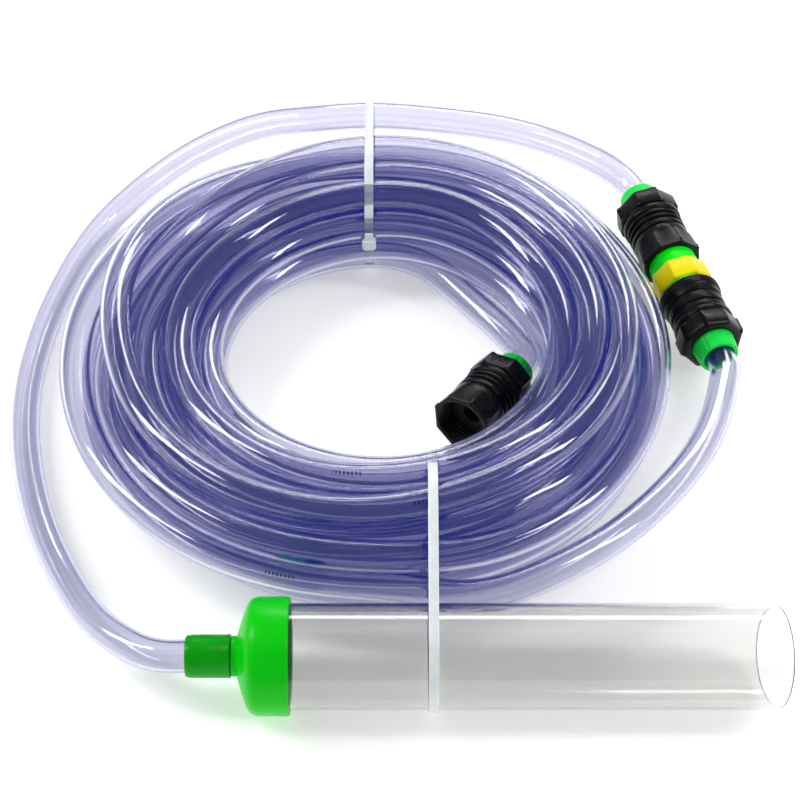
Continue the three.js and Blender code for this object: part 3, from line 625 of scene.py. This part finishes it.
gravel_tube = turned(
    "clear_gravel_tube",
    [
        *((TUBE_RADIUS - TUBE_WALL, TUBE_START + place) for place in reversed(TUBE_STATIONS)),
        *((TUBE_RADIUS, TUBE_START + place) for place in TUBE_STATIONS),
    ],
    placed("cap"),
    clear_acrylic,
    sides=128,
    bevel=0.3,
    shape=slanted,
)
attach(gravel_tube, "gravel_tube")
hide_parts("gravel_tube")

# ---- Cap and sleeve --------------------------------------------------------------------------
# The green cap is moulded in one piece: a skirt round the tube, a cone, and a spigot under the
# hose. The darker, slightly see-through sleeve is soft vinyl, pulled over the hose on the spigot.


def plastic(name, light, dark, gloss, grain, height, scale=130.0, coat=0.0, specular=0.5):
    """A moulded plastic: colour drifts between two near shades, with a fine grain in its gloss."""
    material = bpy.data.materials.new(name)
    material.use_nodes = True
    tree = material.node_tree
    shader = tree.nodes["Principled BSDF"]
    shader.inputs["Specular IOR Level"].default_value = specular
    shader.inputs["Coat Weight"].default_value = coat
    shader.inputs["Coat Roughness"].default_value = 0.12
    wear = node(tree, "ShaderNodeGroup", node_tree=surface_wear, Scale=scale, Stretch=1.0)
    tone = wear.outputs["Tone"]
    link(tree, ramp(tree, tone, [(0.3, dark), (0.7, light)]), shader.inputs["Base Color"])
    sheen = ramp(tree, tone, [(0.3, gloss - grain), (0.7, gloss + grain)])
    link(tree, sheen, shader.inputs["Roughness"])
    bump = node(tree, "ShaderNodeBump", Strength=height, Distance=0.0002)
    link(tree, wear.outputs["Height"], bump.inputs["Height"])
    link(tree, bump.outputs["Normal"], shader.inputs["Normal"])
    return material


cap_green = plastic(
    "cap_green", (0.0, 0.62, 0.004), (0.0, 0.55, 0.003),
    0.3, 0.05, 0.12, scale=60.0, specular=0.16,
)
sleeve_green = plastic(
    "sleeve_green", (0.0, 0.38, 0.004), (0.0, 0.30, 0.003),
    0.3, 0.06, 0.1, scale=60.0, specular=0.16,
)
CAP_RADIUS = 28.1
cap = turned(
    "tube_cap_moulding",
    [
        (4.4, 0.3),
        (4.9, 0.3),
        *((radius, 0.3 + ridge * 4.5) for ridge in (1, 2, 3) for radius in (5.8, 5.2)),
        (5.2, 21.6),
        (9.4, 21.6),
        (9.6, 21.9),
        (9.6, 24.0),
        (10.0, 24.3),
        (11.1, 24.6),
        (17.0, 26.4),
        (22.4, 28.3),
        (24.4, 29.1),
        (25.8, 30.0),
        (26.8, 31.0),
        (27.5, 32.2),
        (27.95, 33.5),
        (CAP_RADIUS, 34.4),
        (CAP_RADIUS, 48.4),
        (27.9, 48.9),
        (27.4, 49.2),
        (25.7, 49.2),
        (25.3, 48.8),
        (25.3, 31.476),
        (23.2, 31.476),
        (21.7, 30.3),
        (8.5, 25.6),
        (4.4, 24.1),
    ],
    placed("cap"),
    cap_green,
    sides=128,
    bevel=0,
)
sleeve = turned(
    "soft_sleeve",
    [
        (8.35, 1.2),
        (8.5, 0.4),
        (8.9, 0.0),
        (9.4, 0.1),
        (9.85, 0.7),
        (10.1, 1.8),
        (10.22, 3.4),
        (10.25, 6.0),
        (10.25, 19.9),
        (10.4, 20.3),
        (10.4, 21.0),
        (10.2, 21.3),
        (8.5, 21.3),
        (8.3, 21.0),
    ],
    placed("cap"),
    sleeve_green,
    bevel=0,
)
for piece, cad, slot in ((cap, "tube_cap", "cap_green"), (sleeve, "cap_sleeve", "sleeve_green")):
    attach(piece, "root")
    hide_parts(cad)

# ---- Grippers --------------------------------------------------------------------------------
# A green acetal gripper stands out of every clamp nut, round the hose. Its collet has four slots,
# and its outer end is lightly fluted, so that fingers can hold it.

grip_green = plastic(
    "grip_green", (0.012, 0.84, 0.09), (0.008, 0.76, 0.07),
    0.38, 0.06, 0.15, scale=60.0, specular=0.16,
)
GRIP_ROWS = [
    (8.6, 0.0),
    (10.3, 0.0),
    (10.55, 0.5),
    (10.9, 3.0),
    (11.25, 6.0),
    (11.7, 10.6),
    (13.0, 10.9),
    (13.0, 12.7),
    (10.9, 12.7),
    (10.4, 19.7),
    (8.6, 19.7),
]


def fluted(vertex):
    """Shallow flutes round the part of the gripper that shows."""
    radius = math.hypot(vertex.x, vertex.y)
    if 0.2 < vertex.z < 8.0 and radius > 9.5:
        flute = max(0.0, math.cos(16 * math.atan2(vertex.y, vertex.x))) ** 3
        scale = 1 - 0.35 * flute / radius
        vertex.x, vertex.y = vertex.x * scale, vertex.y * scale
    return vertex


for number in (1, 2, 3):
    grip = turned(
        f"gripper_{number}", GRIP_ROWS, placed(number), grip_green, sides=192, bevel=0, shape=fluted
    )
    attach(grip, f"grip_collar_{number}")
    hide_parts(f"grip_collar_{number}")

# ---- Clamp nuts ------------------------------------------------------------------------------
# A black eight-sided nylon nut squeezes each gripper. Every second side is raised a little, the
# outer end is chamfered, and a plain band with a bead runs round the inner end.

nut_black = plastic(
    "nut_black", (0.008, 0.008, 0.009), (0.004, 0.004, 0.004),
    0.27, 0.07, 0.3, specular=0.15,
)
NUT_ROWS = [
    (12.0, 9.4),
    (12.3, 9.0),
    (14.2, 9.0, 0.4),
    (15.2, 9.2, 0.8),
    (16.2, 10.0, 1),
    (16.9, 11.0, 1),
    (17.2, 12.0, 1),
    (17.2, 19.6, 1),
    (17.0, 20.3, 1),
    (16.6, 20.6, 0.5),
    (15.4, 20.8),
    (15.4, 21.6),
    (16.2, 21.9),
    (16.4, 22.5),
    (16.4, 24.6),
    (16.1, 25.2),
    (15.6, 25.5),
    (13.7, 25.5),
    (13.6, 25.2),
    (13.6, 10.6),
    (12.0, 10.6),
]
for number in (1, 2, 3):
    nut = turned(
        f"clamp_nut_moulding_{number}", NUT_ROWS, placed(number), nut_black, lift=0.75, bevel=0.2
    )
    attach(nut, f"clamp_nut_{number}")
    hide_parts(f"clamp_nut_{number}")

# ---- Connector bodies ------------------------------------------------------------------------
# The black body inside each nut is glass-filled nylon, with a barbed spigot for the hose. Two end
# in ribbed rings and a neck for a swivel nut, and the other in a knurled flange and a thread.

fitting_black = plastic(
    "fitting_black", (0.007, 0.007, 0.008), (0.003, 0.003, 0.003),
    0.3, 0.08, 0.35, specular=0.14,
)
SPIGOT_ROWS = [
    (4.4, 3.0),
    (4.9, 3.0),
    *((radius, 3.0 + ridge * 4.5) for ridge in (1, 2, 3) for radius in (5.8, 5.2)),
    (5.2, 24.0),
    (11.3, 24.0),
    (11.3, 13.3),
    (13.3, 13.3),
    (13.3, 25.8),
]
SWIVEL_ROWS = [
    *SPIGOT_ROWS,
    (15.3, 25.8),
    (15.6, 26.1),
    (15.6, 27.6),
    (15.2, 27.9),
    (14.2, 28.0),
    (14.2, 30.0),
    (15.4, 30.2),
    (15.7, 30.5),
    (15.7, 31.4),
    (15.4, 31.7),
    (14.2, 31.8),
    (14.2, 33.6),
    (15.5, 33.8),
    (15.8, 34.2),
    (15.8, 36.3),
    (15.4, 36.8),
    (9.5, 36.8),
    (9.5, 40.3),
    (11.2, 40.3),
    (11.2, 42.1),
    (4.4, 42.1),
]
THREADED_ROWS = [
    *SPIGOT_ROWS,
    (15.4, 25.8),
    (15.8, 26.2),
    (15.8, 28.2),
    (15.4, 28.6),
    (14.5, 28.7),
    (14.5, 30.6),
    (15.3, 30.8),
    (15.7, 31.3),
    (15.7, 35.0),
    (15.3, 35.5),
    (14.9, 35.6),
    (14.9, 37.0),
    (15.7, 37.3),
    (16.0, 38.0),
    (16.0, 41.0),
    (16.5, 41.6),
    (16.6, 42.2),
    (16.6, 46.2),
    (16.4, 46.8),
    (11.2, 46.8),
    (9.2, 46.8),
    (9.2, 49.6),
    (4.4, 49.6),
]

# A ring of small moulded teeth, as on the knurled flange and between the ribbed rings
ring_tree = bpy.data.node_groups.new("ring_of_teeth", "GeometryNodeTree")
for socket, kind in (
    ("Count", "NodeSocketInt"),
    ("Radius", "NodeSocketFloat"),
    ("Along", "NodeSocketFloat"),
    ("Tooth", "NodeSocketVector"),
    ("Material", "NodeSocketMaterial"),
):
    ring_tree.interface.new_socket(socket, in_out="INPUT", socket_type=kind)
ring_tree.interface.new_socket("Geometry", in_out="OUTPUT", socket_type="NodeSocketGeometry")
ring_in = node(ring_tree, "NodeGroupInput")
ring_out = node(ring_tree, "NodeGroupOutput")
ring_circle = node(ring_tree, "GeometryNodeMeshCircle")
link(ring_tree, ring_in.outputs["Count"], ring_circle.inputs["Vertices"])
link(ring_tree, ring_in.outputs["Radius"], ring_circle.inputs["Radius"])
ring_tooth = node(ring_tree, "GeometryNodeMeshCube")
link(ring_tree, ring_in.outputs["Tooth"], ring_tooth.inputs["Size"])
ring_place = node(ring_tree, "GeometryNodeInputPosition")
ring_turn = node(ring_tree, "FunctionNodeAlignRotationToVector", axis="X")
link(ring_tree, ring_place.outputs[0], ring_turn.inputs["Vector"])
ring_copies = node(ring_tree, "GeometryNodeInstanceOnPoints")
link(ring_tree, ring_circle.outputs["Mesh"], ring_copies.inputs["Points"])
link(ring_tree, ring_tooth.outputs["Mesh"], ring_copies.inputs["Instance"])
link(ring_tree, ring_turn.outputs["Rotation"], ring_copies.inputs["Rotation"])
ring_raise = node(ring_tree, "ShaderNodeCombineXYZ")
link(ring_tree, ring_in.outputs["Along"], ring_raise.inputs["Z"])
ring_shift = node(ring_tree, "GeometryNodeTransform")
link(ring_tree, ring_copies.outputs["Instances"], ring_shift.inputs["Geometry"])
link(ring_tree, ring_raise.outputs[0], ring_shift.inputs["Translation"])
ring_real = node(ring_tree, "GeometryNodeRealizeInstances")
link(ring_tree, ring_shift.outputs[0], ring_real.inputs[0])
ring_finish = node(ring_tree, "GeometryNodeSetMaterial")
link(ring_tree, ring_real.outputs[0], ring_finish.inputs["Geometry"])
link(ring_tree, ring_in.outputs["Material"], ring_finish.inputs["Material"])
link(ring_tree, ring_finish.outputs[0], ring_out.inputs[0])


def ring_of_teeth(name, place, material, bevel=0.12, **sizes):
    """Teeth set round a fitting, made with the ring_of_teeth tree and turned into a plain mesh."""
    piece = bpy.data.objects.new(name, bpy.data.meshes.new(name))
    scene.collection.objects.link(piece)
    ring = piece.modifiers.new("ring", "NODES")
    ring.node_group = ring_tree
    sockets = {item.name: item.identifier for item in ring_tree.interface.items_tree}
    for key, value in {**sizes, "Material": material}.items():
        ring[sockets[key]] = value
    softened = piece.modifiers.new("softened", "BEVEL")
    softened.width, softened.segments = bevel, 1
    return settled(piece, place, material)


for number in (1, 2, 3):
    swivel = number != 2
    body = turned(
        f"connector_moulding_{number}",
        SWIVEL_ROWS if swivel else THREADED_ROWS,
        placed(number),
        fitting_black,
        bevel=0.12,
    )
    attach(body, "root")
    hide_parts(f"connector_body_{number}")
    teeth = ring_of_teeth(
        f"connector_knurl_{number}",
        placed(number),
        fitting_black,
        Count=44 if swivel else 64,
        Radius=15.4 if swivel else 16.5,
        Along=30.95 if swivel else 44.2,
        Tooth=(0.9, 1.0, 0.9) if swivel else (0.9, 0.8, 4.4),
    )
    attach(teeth, "root")

# ---- Coupling nuts ---------------------------------------------------------------------------
# A swivel nut hangs on each ribbed body. It is round at its back and flares to eight sides at its
# mouth, with a small lug on every corner and a coarse thread inside.

COUPLING_ROWS = [
    (9.9, 37.1),
    (14.6, 37.1),
    (15.3, 37.5),
    (15.6, 38.2),
    (15.5, 40.6),
    (15.9, 42.0, 0.5),
    (16.3, 43.2, 1),
    (17.1, 54.2, 1),
    (17.1, 55.1, 1),
    (16.6, 55.6, 1),
    (13.9, 55.6),
    (13.5, 55.0),
    *((radius, 54.4 - groove * 2.4 - drop) for groove in range(5) for radius, drop in
      ((12.8, 0), (12.8, 0.7), (13.5, 1.2), (13.5, 1.9))),
    (12.8, 42.0),
    (12.8, 39.5),
    (9.9, 39.5),
]
for number in (1, 3):
    coupling = turned(
        f"coupling_nut_moulding_{number}",
        COUPLING_ROWS,
        placed(number),
        nut_black,
        bevel=0.18,
    )
    lugs = ring_of_teeth(
        f"coupling_lugs_{number}",
        placed(number),
        nut_black,
        bevel=0.3,
        Count=8,
        Radius=16.5,
        Along=53.5,
        Tooth=(1.5, 1.5, 3.4),
    )
    for piece in (coupling, lugs):
        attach(piece, f"coupling_nut_{number}")
    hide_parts(f"coupling_nut_{number}")

# ---- Twist valve -----------------------------------------------------------------------------
# The valve between the connectors is green acetal in two halves, held by a pin. A yellow
# eight-sided collar round it turns the ported disc that opens and shuts the water.

valve_green = plastic(
    "valve_green", (0.0, 0.95, 0.008), (0.0, 0.86, 0.006),
    0.3, 0.05, 0.1, scale=60.0, specular=0.16,
)
collar_yellow = plastic(
    "collar_yellow", (0.90, 0.80, 0.0), (0.84, 0.73, 0.0),
    0.36, 0.06, 0.12, scale=60.0, specular=0.16,
)
valve_place = placed("valve")
inlet = turned(
    "valve_inlet_moulding",
    [
        (8.8, -11.2),
        (12.2, -11.2),
        (12.2, -1.0),
        (13.3, -1.0),
        (13.3, 0.2),
        (13.0, 0.4),
        (13.0, 0.9),
        (13.3, 1.1),
        (13.3, 7.6),
        (12.9, 8.2),
        (11.0, 8.2),
        (11.0, 15.0),
        (8.8, 15.0),
    ],
    valve_place,
    valve_green,
    bevel=0.15,
)
outlet = turned(
    "valve_outlet_moulding",
    [
        (9.5, 17.7),
        (11.0, 17.7),
        (11.0, 22.3),
        (13.9, 22.3),
        (14.2, 22.6),
        (14.2, 24.1),
        (13.7, 24.7),
        (9.5, 24.7),
    ],
    valve_place,
    valve_green,
    bevel=0.15,
)
collar = turned(
    "valve_collar_moulding",
    [
        (11.4, 8.5),
        (14.8, 8.5, 1),
        (15.6, 8.8, 1),
        (16.0, 9.5, 1),
        (16.0, 20.9, 1),
        (15.7, 21.6, 1),
        (15.0, 22.0, 1),
        (11.4, 22.0),
    ],
    valve_place,
    collar_yellow,
    bevel=0.35,
)
for piece, cad, rides, slot in (
    (inlet, "valve_inlet", "root", "valve_green"),
    (outlet, "valve_outlet", "root", "valve_green"),
    (collar, "valve_collar", "valve_collar", "collar_yellow"),
):
    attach(piece, rides)
    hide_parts(cad)

# ---- Washers, seal, disc and pin ---------------------------------------------------------------
# The rubber washers, the valve's seal and disc, and its pin stay as the frame has them, and show
# only through the mouths of the fittings.

seal_black = plastic(
    "seal_black", (0.012, 0.012, 0.012), (0.006, 0.006, 0.006),
    0.7, 0.1, 0.5,
)
for name, finish in {
    "washer_1": seal_black,
    "washer_2": seal_black,
    "washer_3": seal_black,
    "valve_seal": seal_black,
    "valve_disc": seal_black,
    "valve_pin": fitting_black,
}.items():
    frame["nodes"][name].data.materials.clear()
    frame["nodes"][name].data.materials.append(finish)

# ---- Cable ties ------------------------------------------------------------------------------
# Two natural nylon ties hold the bundle: one to the hose behind it, one to the gravel tube before
# it. Each is a flat strap, pulled taut, with fine teeth inside and a square locking head.

tie_nylon = plastic(
    "tie_nylon", (0.82, 0.86, 0.88), (0.72, 0.77, 0.80),
    0.36, 0.06, 0.15, coat=0.2,
)
TIE_WIDTH, TIE_THICKNESS, TIE_GAP = 4.8, 1.2, 0.3
BUNDLE_OUTSIDE, BUNDLE_INSIDE = 159.0, 87.0
STRAP_MIDDLE, STRAP_HALF_HEIGHT = 37.5, 36.3
HEAD_Z, HEAD_SIZE = 39.5, (7.5, 5.5, 7.8)
TAIL_Z, TAIL_SIZE = 45.2, (4.6, 1.3, 4.4)


def taut(points):
    """The taut line round a set of points (monotone chain), anticlockwise."""
    points = sorted(map(tuple, points))

    def half(run):
        chain = []
        for p in run:
            while len(chain) > 1 and (
                (chain[-1][0] - chain[-2][0]) * (p[1] - chain[-2][1])
                - (chain[-1][1] - chain[-2][1]) * (p[0] - chain[-2][0])
                <= 1e-9
            ):
                chain.pop()
            chain.append(p)
        return chain[:-1]

    return half(points) + half(points[::-1])


def oval(centre, height, half_width, half_height, count=72):
    turn = np.arange(count) * 2 * math.pi / count
    return np.stack([centre + half_width * np.cos(turn), height + half_height * np.sin(turn)], 1)


def cable_tie(name, cad, side, x, beside):
    """A tie across X at x mm, round the bundle and a round thing beside it (y, z, radius)."""
    reach = abs(x)
    outside = math.sqrt(BUNDLE_OUTSIDE**2 - max(0, reach - TIE_WIDTH) ** 2)
    inside = math.sqrt(BUNDLE_INSIDE**2 - (reach + TIE_WIDTH) ** 2)
    centre = side * (outside + inside) / 2
    half = (outside - inside) / 2 + 0.9
    width, thick = TIE_WIDTH / 2, TIE_THICKNESS / 2
    radius = beside[2] + TIE_GAP + thick
    bundle = oval(centre, STRAP_MIDDLE, half + thick, STRAP_HALF_HEIGHT + thick)
    other = oval(beside[0], beside[1], radius, radius)
    loop = np.array(taut(np.concatenate([bundle, other])))
    loop = np.vstack([loop, loop[:1]])
    loop = evenly(np.column_stack([np.full(len(loop), x), loop]), 1.6)[:-1]
    ahead = np.roll(loop, -1, 0) - np.roll(loop, 1, 0)
    ahead /= np.linalg.norm(ahead, axis=1)[:, None]
    out = np.stack([np.zeros(len(loop)), ahead[:, 2], -ahead[:, 1]], 1)
    profile = [(-width, -thick), (-width, thick * 0.6), (-width + 0.5, thick), (width - 0.5, thick)]
    profile += [(width, thick * 0.6), (width, -thick), (0, -thick)]
    verts = [
        tuple(p + np.array((across, 0, 0)) + o * depth)
        for p, o in zip(loop, out)
        for across, depth in profile
    ]
    count, rim = len(loop), len(profile)
    faces = [
        (
            row * rim + i,
            row * rim + (i + 1) % rim,
            (row + 1) % count * rim + (i + 1) % rim,
            (row + 1) % count * rim + i,
        )
        for row in range(count)
        for i in range(rim)
    ]
    mesh = bpy.data.meshes.new(name)
    mesh.from_pydata(verts, [], faces)
    solid = bmesh.new()
    solid.from_mesh(mesh)
    head_y = centre - side * (half + HEAD_SIZE[1] / 2)
    for y, z, size, rounding, segments in (
        (head_y, HEAD_Z, HEAD_SIZE, 0.9, 3),
        (head_y - side * 1.0, TAIL_Z, TAIL_SIZE, 0.3, 2),
    ):
        place = Matrix.Translation((x, y, z)) @ Matrix.Diagonal((*size, 1))
        block = bmesh.ops.create_cube(solid, matrix=place)
        edges = {edge for vertex in block["verts"] for edge in vertex.link_edges}
        bmesh.ops.bevel(solid, geom=list(edges), offset=rounding, segments=segments, affect="EDGES")
    bmesh.ops.recalc_face_normals(solid, faces=solid.faces)
    solid.to_mesh(mesh)
    solid.free()
    piece = bpy.data.objects.new(name, mesh)
    scene.collection.objects.link(piece)
    settled(piece, Matrix.Translation(coil_foot) @ Matrix.Scale(MM, 4), tie_nylon, crease=40)
    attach(piece, "root")
    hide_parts(cad)


hose_over_coil = (163.0, 61.0, HOSE_RADIUS)
tube_axis = (cap_start - coil_foot) / MM
cable_tie("tie_at_back", "cable_tie_back", 1, -2.5, hose_over_coil)
cable_tie("tie_at_front", "cable_tie_front", -1, 30.0, (tube_axis.y, tube_axis.z, TUBE_RADIUS))
